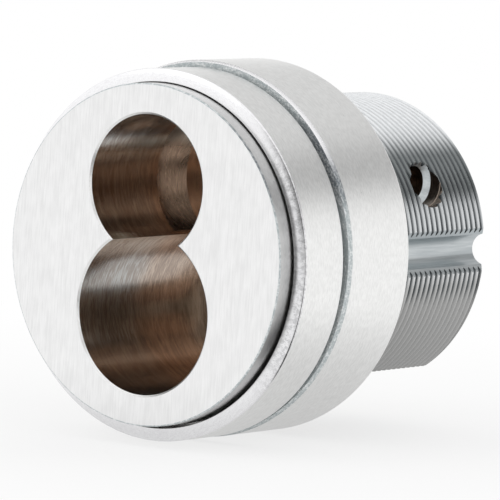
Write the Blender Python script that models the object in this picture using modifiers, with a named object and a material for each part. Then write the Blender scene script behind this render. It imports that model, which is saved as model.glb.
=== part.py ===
"""Mortise cylinder for an interchangeable core: its housing with a cup-shaped compression ring, wave
spring and blocking ring, and the throw member and cam at its rear.

The cylinder's axis is Y. The key face looks towards -Y and +Z is up. The origin is on the axis, in
the plane where the blocking ring seats on the door. Lengths are in metres and angles in radians.
"""

import math

import bmesh
import bpy
from mathutils import Matrix

# Rings, measured along the axis from the door back to the key face
BLOCKING_RING_LENGTH = 0.0093
BLOCKING_RING_WALL = 0.00315
BLOCKING_CHAMFER_LENGTH = 0.0005
BLOCKING_CHAMFER_DEPTH = 0.0003
BLOCKING_RING_LIFT = 0.0002
RING_GAP = 0.0005
CUP_LENGTH = 0.00595
CUP_WALL = 0.00115
CUP_EDGE = 0.00025
CUP_FLANGE_THICKNESS = 0.0012
CUP_LIP_BEVEL = 0.0002
CUP_SAG = 0.0001
HEAD_PROUD = 0.00175
HEAD_TO_CUP_CLEARANCE = 0.00027
BODY_TO_RING_CLEARANCE = 0.00025

# Head and threaded body
OVERALL_LENGTH = 0.0349
BODY_RADIUS = 0.01425
HEAD_OVERHANG = 0.00163
HEAD_THICKNESS = 0.0034
HEAD_CHAMFER = 0.00012
BODY_REAR_CHAMFER = 0.0005
RELIEF_DEPTH = 0.0005
RELIEF_LENGTH = 0.0012

# Wave spring inside the cup ring
SPRING_THICKNESS = 0.00035
SPRING_WAVES = 4
SPRING_BODY_CLEARANCE = 0.0002
SPRING_CUP_CLEARANCE = 0.0003
SPRING_END_CLEARANCE = 0.0003

# Core cavity, a figure 8 of two round lobes, and the wall above and below it in the body
CAVITY_MOUTH_CHAMFER = 0.00018
UPPER_LOBE_RADIUS = 0.00655
UPPER_WALL = 0.00122
LOWER_LOBE_RADIUS = 0.00759
LOWER_WALL = 0.00125

# Recess in the cavity's wall that the core's lug turns into
LUG_RECESS_DEPTH_FROM_FACE = 0.0098
LUG_RECESS_LENGTH = 0.00455
LUG_RECESS_DEPTH = 0.00165
LUG_RECESS_UNDERSIZE = 0.0014

# Cuts in the threaded body
FLAT_DEPTH = 0.00245
FLAT_LENGTH = 0.0184
GROOVE_DEPTH = 0.00175
GROOVE_NOSE_RADIUS = 0.0015
GROOVE_NOSE_HALF_SWEEP = math.radians(75.0)
GROOVE_MOUTH_HALF_WIDTH = 0.00214
SIDE_HOLE_FROM_REAR = 0.0081
SIDE_HOLE_RADIUS = 0.0016
SIDE_LEDGE_WIDTH = 0.00053
SIDE_LEDGE_INSET = 0.0027
SIDE_LEDGE_LENGTH = 0.0005

# Rear wall and what turns in it, about the lower lobe's axis
REAR_BORE_RADIUS = 0.0055
REAR_WEB_THICKNESS = 0.0011
REAR_WEB_WIDTH = 0.0014
SNAP_RING_INSET = 0.0012
SNAP_RING_THICKNESS = 0.0007
SNAP_RING_LIP = 0.0008
SNAP_RING_OPENING = 0.003
SNAP_GROOVE_DEPTH = 0.00045
THRUST_WASHER_THICKNESS = 0.0002
THROW_DISC_THICKNESS = 0.0014
PIN_RADIUS = 0.001
PIN_INSET = 0.0003
PIN_REACH = 0.0077
PIN_SEAT_DEPTH = 0.0024
PIN_END_CHAMFER = 0.0002

# Cam and its screws
CAM_TO_BODY_GAP = 0.0003
CAM_THICKNESS = 0.0024
CAM_HUB_MARGIN = 0.002
CAM_REACH = 0.019
CAM_TIP_RADIUS = 0.0032
SCREW_INSET = 0.0006
SCREW_RADIUS = 0.0009
SCREW_HEAD_RADIUS = 0.00175
SCREW_HEAD_THICKNESS = 0.0011
SCREW_HEAD_EDGE = 0.0002
SCREW_REACH = 0.0026
SCREW_SLOT_WIDTH = 0.0005
SCREW_SLOT_DEPTH = 0.0005

# Clearances of the small rear pieces: along the axis, round what turns, and round what is fixed
AXIAL_CLEARANCE = 0.0001
RUNNING_CLEARANCE = 0.0002
FIXED_CLEARANCE = 0.00005

# How finely round shapes are faceted, and how far a cutter runs past what it cuts
RING_SEGMENTS = 96
BORE_SEGMENTS = 64
SMALL_SEGMENTS = 32
TINY_SEGMENTS = 20
ARC_STEPS = 10
CUTTER_OVERRUN = 0.001
MERGE_DISTANCE = 1e-6
SHARP_ANGLE = math.radians(30.0)

# Planes along the axis, worked out from the sizes above
DOOR_SEAT = 0.0
BLOCKING_RING_FRONT = DOOR_SEAT - BLOCKING_RING_LENGTH
CUP_REAR = BLOCKING_RING_FRONT - RING_GAP
CUP_FLANGE_FRONT = CUP_REAR - CUP_FLANGE_THICKNESS
CUP_FRONT = CUP_REAR - CUP_LENGTH
FACE = CUP_FRONT - HEAD_PROUD
HEAD_SHOULDER = FACE + HEAD_THICKNESS
RELIEF_REAR = HEAD_SHOULDER + RELIEF_LENGTH
BODY_REAR = FACE + OVERALL_LENGTH
SNAP_RING_REAR = BODY_REAR - SNAP_RING_INSET
SNAP_RING_FRONT = SNAP_RING_REAR - SNAP_RING_THICKNESS
DISC_REAR = SNAP_RING_FRONT - AXIAL_CLEARANCE
DISC_FRONT = DISC_REAR - THROW_DISC_THICKNESS
WASHER_REAR = DISC_FRONT - AXIAL_CLEARANCE
WASHER_FRONT = WASHER_REAR - THRUST_WASHER_THICKNESS
WEB_REAR = WASHER_FRONT - AXIAL_CLEARANCE
CAVITY_REAR = WEB_REAR - REAR_WEB_THICKNESS
CAM_FRONT = BODY_REAR + CAM_TO_BODY_GAP
HUB_REAR = CAM_FRONT - AXIAL_CLEARANCE
CAM_REAR = CAM_FRONT + CAM_THICKNESS
SCREW_HEAD_FRONT = CAM_REAR + AXIAL_CLEARANCE
SCREW_HEAD_REAR = SCREW_HEAD_FRONT + SCREW_HEAD_THICKNESS

# Radii and places that several pieces share
HEAD_RADIUS = BODY_RADIUS + HEAD_OVERHANG
RING_BORE_RADIUS = BODY_RADIUS + BODY_TO_RING_CLEARANCE
BLOCKING_RING_RADIUS = RING_BORE_RADIUS + BLOCKING_RING_WALL
CUP_INNER_RADIUS = HEAD_RADIUS + HEAD_TO_CUP_CLEARANCE
CUP_RADIUS = CUP_INNER_RADIUS + CUP_WALL
UPPER_LOBE_HEIGHT = BODY_RADIUS - UPPER_WALL - UPPER_LOBE_RADIUS
LOWER_LOBE_DROP = BODY_RADIUS - LOWER_WALL - LOWER_LOBE_RADIUS
UPPER_LOBE_CENTRE = (0.0, 0.0, UPPER_LOBE_HEIGHT)
THROW_CENTRE = (0.0, 0.0, -LOWER_LOBE_DROP)
SNAP_GROOVE_RADIUS = REAR_BORE_RADIUS + SNAP_GROOVE_DEPTH
SNAP_RING_INNER_RADIUS = REAR_BORE_RADIUS - SNAP_RING_LIP
THROW_HUB_RADIUS = SNAP_RING_INNER_RADIUS - RUNNING_CLEARANCE
WEB_HOLE_RADIUS = REAR_BORE_RADIUS - REAR_WEB_WIDTH
PIN_OFFSET = WEB_HOLE_RADIUS - PIN_INSET - PIN_RADIUS
CAM_HUB_RADIUS = THROW_HUB_RADIUS + CAM_HUB_MARGIN
SCREW_OFFSET = THROW_HUB_RADIUS - SCREW_INSET - SCREW_RADIUS


def clear_scene():
    for leftover in list(bpy.data.objects):
        bpy.data.objects.remove(leftover, do_unlink=True)


def new_collection(name):
    collection = bpy.data.collections.new(name)
    bpy.context.scene.collection.children.link(collection)
    return collection


def metal(name, colour, roughness):
    """A plain metal of one colour."""
    material = bpy.data.materials.new(name)
    material.use_nodes = True
    shader = material.node_tree.nodes["Principled BSDF"]
    shader.inputs["Base Color"].default_value = (*colour, 1.0)
    shader.inputs["Metallic"].default_value = 1.0
    shader.inputs["Roughness"].default_value = roughness
    return material


def add_object(name, mesh, collection, centre):
    piece = bpy.data.objects.new(name, mesh)
    piece.location = centre
    collection.objects.link(piece)
    return piece


def turned(name, profile, collection, segments, centre=(0.0, 0.0, 0.0)):
    """A solid of revolution about its own Y axis.

    The profile holds (radius, y) pairs that run along its outer side from rear to front. One that
    starts on the axis ends there too, and any other closes on itself round its inner side.
    """
    edges = [(i, i + 1) for i in range(len(profile) - 1)]
    if profile[0][0] > 0.0:
        edges.append((len(profile) - 1, 0))
    mesh = bpy.data.meshes.new(name)
    mesh.from_pydata([(radius, y, 0.0) for radius, y in profile], edges, [])
    piece = add_object(name, mesh, collection, centre)
    screw = piece.modifiers.new("Turning", "SCREW")
    screw.axis = "Y"
    screw.steps = segments
    screw.render_steps = segments
    screw.use_merge_vertices = True
    screw.merge_threshold = MERGE_DISTANCE
    return piece


def rod(radius, front, rear):
    """The profile of a plain round bar."""
    return [(0.0, rear), (radius, rear), (radius, front), (0.0, front)]


def tube(inner_radius, outer_radius, front, rear):
    """The profile of a plain ring."""
    return [(outer_radius, rear), (outer_radius, front), (inner_radius, front), (inner_radius, rear)]


def along_y(front, rear):
    """Lays what was made about Z at the origin along Y, midway between two planes."""
    return Matrix.Translation((0.0, (front + rear) / 2, 0.0)) @ Matrix.Rotation(math.pi / 2, 4, "X")


def flared_drum(name, radius, front, rear, flare, collection, segments, centre):
    """A cylinder along Y that goes on past its front end as a 45 degree flare of the given width."""
    shape = bmesh.new()
    bmesh.ops.create_cone(
        shape,
        cap_ends=True,
        segments=segments,
        radius1=radius,
        radius2=radius,
        depth=rear - front,
        matrix=along_y(front, rear),
    )
    front_end = min(shape.faces, key=lambda face: face.calc_center_median().y)
    grown = bmesh.ops.extrude_face_region(shape, geom=[front_end])
    rim = [part for part in grown["geom"] if isinstance(part, bmesh.types.BMVert)]
    shape.faces.remove(front_end)
    spread = (radius + flare) / radius
    bmesh.ops.scale(shape, vec=(spread, 1.0, spread), verts=rim)
    bmesh.ops.translate(shape, vec=(0.0, -flare, 0.0), verts=rim)
    bmesh.ops.recalc_face_normals(shape, faces=shape.faces)
    mesh = bpy.data.meshes.new(name)
    shape.to_mesh(mesh)
    shape.free()
    return add_object(name, mesh, collection, centre)


def plate(name, outline, front, rear, collection, centre=(0.0, 0.0, 0.0)):
    """A flat outline of (x, z) points, filled and given its thickness along Y."""
    curve = bpy.data.curves.new(name, "CURVE")
    curve.dimensions = "2D"
    curve.fill_mode = "BOTH"
    curve.extrude = (rear - front) / 2
    spline = curve.splines.new("POLY")
    spline.points.add(len(outline) - 1)
    for point, (x, z) in zip(spline.points, outline):
        point.co = (x, z, 0.0, 1.0)
    spline.use_cyclic_u = True
    flat = add_object(name, curve, collection, (0.0, 0.0, 0.0))
    graph = bpy.context.evaluated_depsgraph_get()
    mesh = bpy.data.meshes.new_from_object(flat.evaluated_get(graph))
    bpy.data.objects.remove(flat)
    shape = bmesh.new()
    shape.from_mesh(mesh)
    bmesh.ops.remove_doubles(shape, verts=shape.verts, dist=MERGE_DISTANCE)
    bmesh.ops.transform(shape, matrix=along_y(front, rear), verts=shape.verts)
    bmesh.ops.recalc_face_normals(shape, faces=shape.faces)
    shape.to_mesh(mesh)
    shape.free()
    return add_object(name, mesh, collection, centre)


def box(name, low, high, collection, centre=(0.0, 0.0, 0.0)):
    """A block between two corners."""
    middle = [(a + b) / 2 for a, b in zip(low, high)]
    sides = [b - a for a, b in zip(low, high)]
    shape = bmesh.new()
    bmesh.ops.create_cube(shape, matrix=Matrix.LocRotScale(middle, None, sides))
    mesh = bpy.data.meshes.new(name)
    shape.to_mesh(mesh)
    shape.free()
    return add_object(name, mesh, collection, centre)


def arc(centre_x, centre_z, radius, start, end, steps):
    """Points along an arc in the XZ plane, from one angle to another."""
    angles = [start + (end - start) * i / steps for i in range(steps + 1)]
    return [(centre_x + radius * math.cos(a), centre_z + radius * math.sin(a)) for a in angles]


def cut(piece, cutter):
    """Takes the cutter's shape out of the piece, and keeps the cutter out of the model."""
    cutter.hide_render = True
    cutter.display_type = "WIRE"
    boolean = piece.modifiers.new(cutter.name, "BOOLEAN")
    boolean.operation = "DIFFERENCE"
    boolean.solver = "EXACT"
    boolean.object = cutter


def finish(piece, material):
    """Applies the piece's modifiers, gives it its metal and shades its round sides smooth."""
    graph = bpy.context.evaluated_depsgraph_get()
    mesh = bpy.data.meshes.new_from_object(piece.evaluated_get(graph))
    piece.modifiers.clear()
    piece.data = mesh
    mesh.materials.clear()
    mesh.materials.append(material)
    mesh.shade_smooth()
    mesh.set_sharp_from_angle(angle=SHARP_ANGLE)
    return piece


def housing_blank_profile():
    """Head, relief behind it and body, before anything is bored or milled."""
    relief_radius = BODY_RADIUS - RELIEF_DEPTH
    return [
        (0.0, BODY_REAR),
        (BODY_RADIUS - BODY_REAR_CHAMFER, BODY_REAR),
        (BODY_RADIUS, BODY_REAR - BODY_REAR_CHAMFER),
        (BODY_RADIUS, RELIEF_REAR + RELIEF_DEPTH),
        (relief_radius, RELIEF_REAR),
        (relief_radius, HEAD_SHOULDER),
        (HEAD_RADIUS, HEAD_SHOULDER),
        (HEAD_RADIUS, FACE + HEAD_CHAMFER),
        (HEAD_RADIUS - HEAD_CHAMFER, FACE),
        (0.0, FACE),
    ]


def rear_bore_profile():
    """The hole through the rear web, the bore behind it and the snap ring's groove in that bore."""
    groove_front = SNAP_RING_FRONT - AXIAL_CLEARANCE
    groove_rear = SNAP_RING_REAR + AXIAL_CLEARANCE
    return [
        (0.0, BODY_REAR + CUTTER_OVERRUN),
        (REAR_BORE_RADIUS, BODY_REAR + CUTTER_OVERRUN),
        (REAR_BORE_RADIUS, groove_rear),
        (SNAP_GROOVE_RADIUS, groove_rear),
        (SNAP_GROOVE_RADIUS, groove_front),
        (REAR_BORE_RADIUS, groove_front),
        (REAR_BORE_RADIUS, WEB_REAR),
        (WEB_HOLE_RADIUS, WEB_REAR),
        (WEB_HOLE_RADIUS, CAVITY_REAR - CUTTER_OVERRUN),
        (0.0, CAVITY_REAR - CUTTER_OVERRUN),
    ]


def side_hole_profile():
    """The counterbored cross hole, from the upper lobe outwards along its own axis."""
    ledge = BODY_RADIUS - SIDE_LEDGE_INSET
    counterbore_radius = SIDE_HOLE_RADIUS + SIDE_LEDGE_WIDTH
    return [
        (0.0, BODY_RADIUS + CUTTER_OVERRUN),
        (counterbore_radius, BODY_RADIUS + CUTTER_OVERRUN),
        (counterbore_radius, ledge),
        (SIDE_HOLE_RADIUS, ledge - SIDE_LEDGE_LENGTH),
        (SIDE_HOLE_RADIUS, UPPER_LOBE_RADIUS / 2),
        (0.0, UPPER_LOBE_RADIUS / 2),
    ]


def groove_outline():
    """Section of a set-screw groove on the +X side: a round bottom and flared sides."""
    nose_x = BODY_RADIUS - GROOVE_DEPTH + GROOVE_NOSE_RADIUS
    nose = arc(
        nose_x,
        0.0,
        GROOVE_NOSE_RADIUS,
        math.pi - GROOVE_NOSE_HALF_SWEEP,
        math.pi + GROOVE_NOSE_HALF_SWEEP,
        ARC_STEPS,
    )
    flare_x, flare_z = nose[0]
    mouth_x = math.sqrt(BODY_RADIUS**2 - GROOVE_MOUTH_HALF_WIDTH**2)
    flare = (GROOVE_MOUTH_HALF_WIDTH - flare_z) / (mouth_x - flare_x)
    outer_x = BODY_RADIUS + CUTTER_OVERRUN
    outer_half_width = flare_z + flare * (outer_x - flare_x)
    return [(outer_x, outer_half_width), *nose, (outer_x, -outer_half_width)]


def make_housing(model, cutters, material):
    housing = turned("cylinder_housing", housing_blank_profile(), model, RING_SEGMENTS)

    wall_front = FACE + CAVITY_MOUTH_CHAMFER
    flare = CAVITY_MOUTH_CHAMFER + CUTTER_OVERRUN
    cut(housing, flared_drum("upper_lobe", UPPER_LOBE_RADIUS, wall_front, CAVITY_REAR, flare,
                             cutters, BORE_SEGMENTS, UPPER_LOBE_CENTRE))
    cut(housing, flared_drum("lower_lobe", LOWER_LOBE_RADIUS, wall_front, CAVITY_REAR, flare,
                             cutters, BORE_SEGMENTS, THROW_CENTRE))

    recess_front = FACE + LUG_RECESS_DEPTH_FROM_FACE
    recess = rod(UPPER_LOBE_RADIUS - LUG_RECESS_UNDERSIZE, recess_front,
                 recess_front + LUG_RECESS_LENGTH)
    recess_centre = (-LUG_RECESS_DEPTH - LUG_RECESS_UNDERSIZE, 0.0, UPPER_LOBE_HEIGHT)
    cut(housing, turned("lug_recess", recess, cutters, BORE_SEGMENTS, recess_centre))

    cut(housing, turned("rear_bore", rear_bore_profile(), cutters, BORE_SEGMENTS, THROW_CENTRE))

    past_head = HEAD_RADIUS + CUTTER_OVERRUN
    flat_low = (-past_head, BODY_REAR - FLAT_LENGTH, -past_head)
    flat_high = (past_head, BODY_REAR + CUTTER_OVERRUN, FLAT_DEPTH - BODY_RADIUS)
    cut(housing, box("underside_flat", flat_low, flat_high, cutters))

    groove_front = HEAD_SHOULDER + RELIEF_LENGTH / 2
    groove_rear = BODY_REAR + CUTTER_OVERRUN
    right_groove = groove_outline()
    left_groove = [(-x, z) for x, z in reversed(right_groove)]
    cut(housing, plate("right_groove", right_groove, groove_front, groove_rear, cutters))
    cut(housing, plate("left_groove", left_groove, groove_front, groove_rear, cutters))

    side_hole_centre = (0.0, BODY_REAR - SIDE_HOLE_FROM_REAR, UPPER_LOBE_HEIGHT)
    side_hole = turned("side_hole", side_hole_profile(), cutters, SMALL_SEGMENTS, side_hole_centre)
    side_hole.rotation_euler.z = -math.pi / 2
    cut(housing, side_hole)
    finish(housing, material)


def make_compression_ring(model, material):
    """The cup ring: a lip round the head, and a flange that the wave spring presses on."""
    profile = [
        (CUP_RADIUS - CUP_EDGE, CUP_REAR),
        (CUP_RADIUS, CUP_REAR - CUP_EDGE),
        (CUP_RADIUS, CUP_FRONT + CUP_EDGE),
        (CUP_RADIUS - CUP_EDGE, CUP_FRONT),
        (CUP_INNER_RADIUS + CUP_LIP_BEVEL, CUP_FRONT),
        (CUP_INNER_RADIUS, CUP_FRONT + CUP_LIP_BEVEL),
        (CUP_INNER_RADIUS, CUP_FLANGE_FRONT),
        (RING_BORE_RADIUS, CUP_FLANGE_FRONT),
        (RING_BORE_RADIUS, CUP_REAR),
    ]
    centre = (0.0, 0.0, -CUP_SAG)
    finish(turned("compression_ring", profile, model, RING_SEGMENTS, centre), material)


def make_blocking_ring(model, material):
    """A loose ring. The cylinder lies in it, so the ring's centre is a little above the axis."""
    profile = [
        (BLOCKING_RING_RADIUS - BLOCKING_CHAMFER_DEPTH, DOOR_SEAT),
        (BLOCKING_RING_RADIUS, DOOR_SEAT - BLOCKING_CHAMFER_DEPTH),
        (BLOCKING_RING_RADIUS, BLOCKING_RING_FRONT + BLOCKING_CHAMFER_LENGTH),
        (BLOCKING_RING_RADIUS - BLOCKING_CHAMFER_DEPTH, BLOCKING_RING_FRONT),
        (RING_BORE_RADIUS, BLOCKING_RING_FRONT),
        (RING_BORE_RADIUS, DOOR_SEAT),
    ]
    centre = (0.0, 0.0, BLOCKING_RING_LIFT)
    finish(turned("blocking_ring", profile, model, RING_SEGMENTS, centre), material)


def make_ring_spring(model, material):
    """A flat ring whose thickness rides up and down in waves between the head and the flange."""
    inner_radius = BODY_RADIUS + SPRING_BODY_CLEARANCE
    outer_radius = CUP_INNER_RADIUS - SPRING_CUP_CLEARANCE
    middle = (HEAD_SHOULDER + CUP_FLANGE_FRONT) / 2
    room = CUP_FLANGE_FRONT - HEAD_SHOULDER - 2 * SPRING_END_CLEARANCE
    wave_height = (room - SPRING_THICKNESS) / 2
    flat = tube(inner_radius, outer_radius, middle - SPRING_THICKNESS / 2,
                middle + SPRING_THICKNESS / 2)
    spring = finish(turned("ring_spring", flat, model, RING_SEGMENTS), material)
    for vertex in spring.data.vertices:
        turn = math.atan2(vertex.co.z, vertex.co.x)
        vertex.co.y += wave_height * math.cos(SPRING_WAVES * turn)
    spring.data.update()


def make_throw_member(model, cutters, axle, material):
    disc_radius = REAR_BORE_RADIUS - RUNNING_CLEARANCE
    profile = [
        (0.0, HUB_REAR),
        (THROW_HUB_RADIUS, HUB_REAR),
        (THROW_HUB_RADIUS, DISC_REAR),
        (disc_radius, DISC_REAR),
        (disc_radius, DISC_FRONT),
        (0.0, DISC_FRONT),
    ]
    throw = turned("throw_member", profile, model, BORE_SEGMENTS)
    throw.parent = axle
    seat = rod(PIN_RADIUS + FIXED_CLEARANCE, DISC_FRONT - CUTTER_OVERRUN, DISC_FRONT + PIN_SEAT_DEPTH)
    for side, name in ((-1, "left_pin_seat"), (1, "right_pin_seat")):
        hole = turned(name, seat, cutters, TINY_SEGMENTS, (side * PIN_OFFSET, 0.0, 0.0))
        hole.parent = axle
        cut(throw, hole)
    thread_hole = rod(SCREW_RADIUS + FIXED_CLEARANCE, HUB_REAR - SCREW_REACH, HUB_REAR + CUTTER_OVERRUN)
    for side, name in ((1, "upper_screw_hole"), (-1, "lower_screw_hole")):
        hole = turned(name, thread_hole, cutters, TINY_SEGMENTS, (0.0, 0.0, side * SCREW_OFFSET))
        hole.parent = axle
        cut(throw, hole)
    finish(throw, material)


def make_throw_pins(model, axle, material):
    rear = DISC_FRONT + PIN_SEAT_DEPTH - AXIAL_CLEARANCE
    front = DISC_FRONT - PIN_REACH
    profile = [
        (0.0, rear),
        (PIN_RADIUS, rear),
        (PIN_RADIUS, front + PIN_END_CHAMFER),
        (PIN_RADIUS - PIN_END_CHAMFER, front),
        (0.0, front),
    ]
    for side, name in ((-1, "throw_pin_left"), (1, "throw_pin_right")):
        pin = turned(name, profile, model, TINY_SEGMENTS, (side * PIN_OFFSET, 0.0, 0.0))
        pin.parent = axle
        finish(pin, material)


def make_thrust_washer(model, material):
    profile = tube(WEB_HOLE_RADIUS, REAR_BORE_RADIUS - AXIAL_CLEARANCE, WASHER_FRONT, WASHER_REAR)
    finish(turned("thrust_washer", profile, model, BORE_SEGMENTS, THROW_CENTRE), material)


def make_throw_retaining_ring(model, cutters, material):
    """A snap ring, sprung open into its groove, with its opening at the top."""
    outer_radius = SNAP_GROOVE_RADIUS - AXIAL_CLEARANCE
    profile = tube(SNAP_RING_INNER_RADIUS, outer_radius, SNAP_RING_FRONT, SNAP_RING_REAR)
    ring = turned("throw_retaining_ring", profile, model, BORE_SEGMENTS, THROW_CENTRE)
    half_opening = SNAP_RING_OPENING / 2
    low = (-half_opening, SNAP_RING_FRONT - CUTTER_OVERRUN, 0.0)
    high = (half_opening, SNAP_RING_REAR + CUTTER_OVERRUN, outer_radius + CUTTER_OVERRUN)
    cut(ring, box("snap_ring_opening", low, high, cutters, THROW_CENTRE))
    finish(ring, material)


def cam_outline():
    """Round hub and a tapered tail with a round tip, as the two tangents of two circles join them."""
    tip_x = CAM_TIP_RADIUS - CAM_REACH
    tangent = math.acos((CAM_HUB_RADIUS - CAM_TIP_RADIUS) / -tip_x)
    hub = arc(0.0, 0.0, CAM_HUB_RADIUS, tangent - math.pi, math.pi - tangent, 3 * ARC_STEPS)
    tip = arc(tip_x, 0.0, CAM_TIP_RADIUS, math.pi - tangent, math.pi + tangent, ARC_STEPS)
    return hub + tip


def make_cam(model, cutters, axle, material):
    cam = plate("cam", cam_outline(), CAM_FRONT, CAM_REAR, model)
    cam.parent = axle
    clear = rod(SCREW_RADIUS + FIXED_CLEARANCE, CAM_FRONT - CUTTER_OVERRUN, CAM_REAR + CUTTER_OVERRUN)
    for side, name in ((1, "upper_cam_hole"), (-1, "lower_cam_hole")):
        hole = turned(name, clear, cutters, TINY_SEGMENTS, (0.0, 0.0, side * SCREW_OFFSET))
        hole.parent = axle
        cut(cam, hole)
    finish(cam, material)


def make_cam_screws(model, cutters, axle, material):
    profile = [
        (0.0, SCREW_HEAD_REAR),
        (SCREW_HEAD_RADIUS - SCREW_HEAD_EDGE, SCREW_HEAD_REAR),
        (SCREW_HEAD_RADIUS, SCREW_HEAD_REAR - SCREW_HEAD_EDGE),
        (SCREW_HEAD_RADIUS, SCREW_HEAD_FRONT),
        (SCREW_RADIUS, SCREW_HEAD_FRONT),
        (SCREW_RADIUS, HUB_REAR - SCREW_REACH + AXIAL_CLEARANCE),
        (0.0, HUB_REAR - SCREW_REACH + AXIAL_CLEARANCE),
    ]
    slot_reach = SCREW_HEAD_RADIUS + CUTTER_OVERRUN
    slot_low = (-slot_reach, SCREW_HEAD_REAR - SCREW_SLOT_DEPTH, -SCREW_SLOT_WIDTH / 2)
    slot_high = (slot_reach, SCREW_HEAD_REAR + CUTTER_OVERRUN, SCREW_SLOT_WIDTH / 2)
    for side, place in ((1, "upper"), (-1, "lower")):
        centre = (0.0, 0.0, side * SCREW_OFFSET)
        screw = turned(f"cam_screw_{place}", profile, model, TINY_SEGMENTS, centre)
        screw.parent = axle
        slot = box(f"{place}_screw_slot", slot_low, slot_high, cutters, centre)
        slot.parent = axle
        cut(screw, slot)
        finish(screw, material)


def main():
    clear_scene()
    model = new_collection("mortise_cylinder")
    cutters = new_collection("cutters")
    chrome = metal("satin_chrome", (0.80, 0.80, 0.79), 0.3)
    steel = metal("plated_steel", (0.62, 0.60, 0.55), 0.35)
    dark_steel = metal("spring_steel", (0.22, 0.21, 0.20), 0.4)

    axle = bpy.data.objects.new("throw_axis", None)
    axle.location = THROW_CENTRE
    model.objects.link(axle)

    make_housing(model, cutters, chrome)
    make_compression_ring(model, chrome)
    make_blocking_ring(model, chrome)
    make_ring_spring(model, dark_steel)
    make_throw_member(model, cutters, axle, steel)
    make_throw_pins(model, axle, steel)
    make_thrust_washer(model, dark_steel)
    make_throw_retaining_ring(model, cutters, dark_steel)
    make_cam(model, cutters, axle, steel)
    make_cam_screws(model, cutters, axle, steel)


main()
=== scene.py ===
"""Looks of the mortise cylinder: its machined and satin-plated housing with the fine thread, the cup
ring, the blocking ring, and the steel throw member, spring, cam and screws behind them.

The solids' frame holds here too: the cylinder's axis is Y, the key face looks towards -Y and +Z is
up. Lengths are in metres and angles in radians.
"""

import math

import bmesh
import bpy
from mathutils import Matrix, Vector


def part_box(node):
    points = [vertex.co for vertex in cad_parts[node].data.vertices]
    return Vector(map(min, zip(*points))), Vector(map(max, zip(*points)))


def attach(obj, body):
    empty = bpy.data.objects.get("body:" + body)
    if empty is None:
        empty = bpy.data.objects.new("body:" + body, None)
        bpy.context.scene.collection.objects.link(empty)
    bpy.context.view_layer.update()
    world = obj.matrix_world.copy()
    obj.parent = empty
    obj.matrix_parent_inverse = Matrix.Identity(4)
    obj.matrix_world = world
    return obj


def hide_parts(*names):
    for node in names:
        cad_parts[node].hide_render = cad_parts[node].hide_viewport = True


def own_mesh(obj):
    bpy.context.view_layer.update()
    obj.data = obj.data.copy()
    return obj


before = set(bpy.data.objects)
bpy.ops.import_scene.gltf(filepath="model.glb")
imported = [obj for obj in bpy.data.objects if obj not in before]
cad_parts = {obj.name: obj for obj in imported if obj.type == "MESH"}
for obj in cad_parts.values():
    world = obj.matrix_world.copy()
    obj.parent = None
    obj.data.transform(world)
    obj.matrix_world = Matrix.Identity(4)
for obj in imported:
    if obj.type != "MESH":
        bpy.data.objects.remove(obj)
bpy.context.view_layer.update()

# Planes and radii read from the solids
HOUSING_LOW, HOUSING_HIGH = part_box("cylinder_housing")
FACE = HOUSING_LOW.y
BODY_REAR = HOUSING_HIGH.y
HEAD_RADIUS = HOUSING_HIGH.x
CUP_LOW, CUP_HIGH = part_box("compression_ring")
BLOCKING_LOW, BLOCKING_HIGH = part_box("blocking_ring")
PIN_LOW, PIN_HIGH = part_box("throw_pin_right")
THROW_LOW, THROW_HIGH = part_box("throw_member")

# Sizes that the solids share with this script
BODY_RADIUS = 0.01425
HEAD_THICKNESS = 0.0034
RELIEF_DEPTH = 0.0005
RELIEF_LENGTH = 0.0012
REAR_CHAMFER = 0.0005
RING_BORE_RADIUS = 0.0145
CUP_FLANGE_THICKNESS = 0.0012
UPPER_LOBE_RADIUS = 0.00655
UPPER_LOBE_HEIGHT = 0.00648
LOWER_LOBE_RADIUS = 0.00759
LOWER_LOBE_DROP = 0.00541
CAVITY_REAR = 0.0125
LUG_RECESS_FRONT = FACE + 0.0098
LUG_RECESS_REAR = FACE + 0.01435
LUG_RECESS_RADIUS = 0.00515
LUG_RECESS_SHIFT = 0.00305
FLAT_HEIGHT = -0.0118
FLAT_LENGTH = 0.0184
GROOVE_BOTTOM = 0.0125
GROOVE_NOSE_RADIUS = 0.0015
GROOVE_NOSE_HALF_SWEEP = math.radians(75.0)
GROOVE_MOUTH_HALF_WIDTH = 0.00214
SIDE_HOLE_Y = 0.0093
SIDE_HOLE_RADIUS = 0.0016
SIDE_LEDGE_WIDTH = 0.00053
SIDE_LEDGE_X = 0.01155
SIDE_LEDGE_LENGTH = 0.0005
WEB_HOLE_RADIUS = 0.0041
WEB_REAR = 0.0136
REAR_BORE_RADIUS = 0.0055
SNAP_GROOVE_RADIUS = 0.00595
SNAP_GROOVE_FRONT = 0.0154
SNAP_GROOVE_REAR = 0.0163
HUB_RADIUS = 0.0045
DISC_REAR = 0.0154
PIN_RADIUS = 0.001
SCREW_RADIUS = 0.0009
SCREW_HEAD_FRONT = 0.0202

# Fine forms of the edges, finer here than in the solids. The cup ring's bore is a little tighter than
# the solid's, and its lip falls back towards its outside.
HEAD_EDGE = 0.00013
MOUTH_EDGE = 0.00018
CUP_INNER_RADIUS = 0.01606
CUP_LIP_FALL = 0.0003
CUP_OUTER_EDGE = 0.00014
CUP_INNER_EDGE = 0.0001
BLOCKING_CHAMFER_LENGTH = 0.0004
BLOCKING_CHAMFER_DEPTH = 0.0002
BLOCKING_REAR_EDGE = 0.0003
SIDE_HOLE_EDGE = 0.00006
DISC_EDGE = 0.00012
CAM_EDGE = 0.00012
CAM_EDGE_ANGLE = math.radians(60.0)
PIN_END_EDGE = 0.00035
SCREW_HEAD_EDGE = 0.0003
SCREW_SLOT_DEPTH = 0.0005
SCREW_SLOT_HALF_WIDTH = 0.00025

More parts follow.
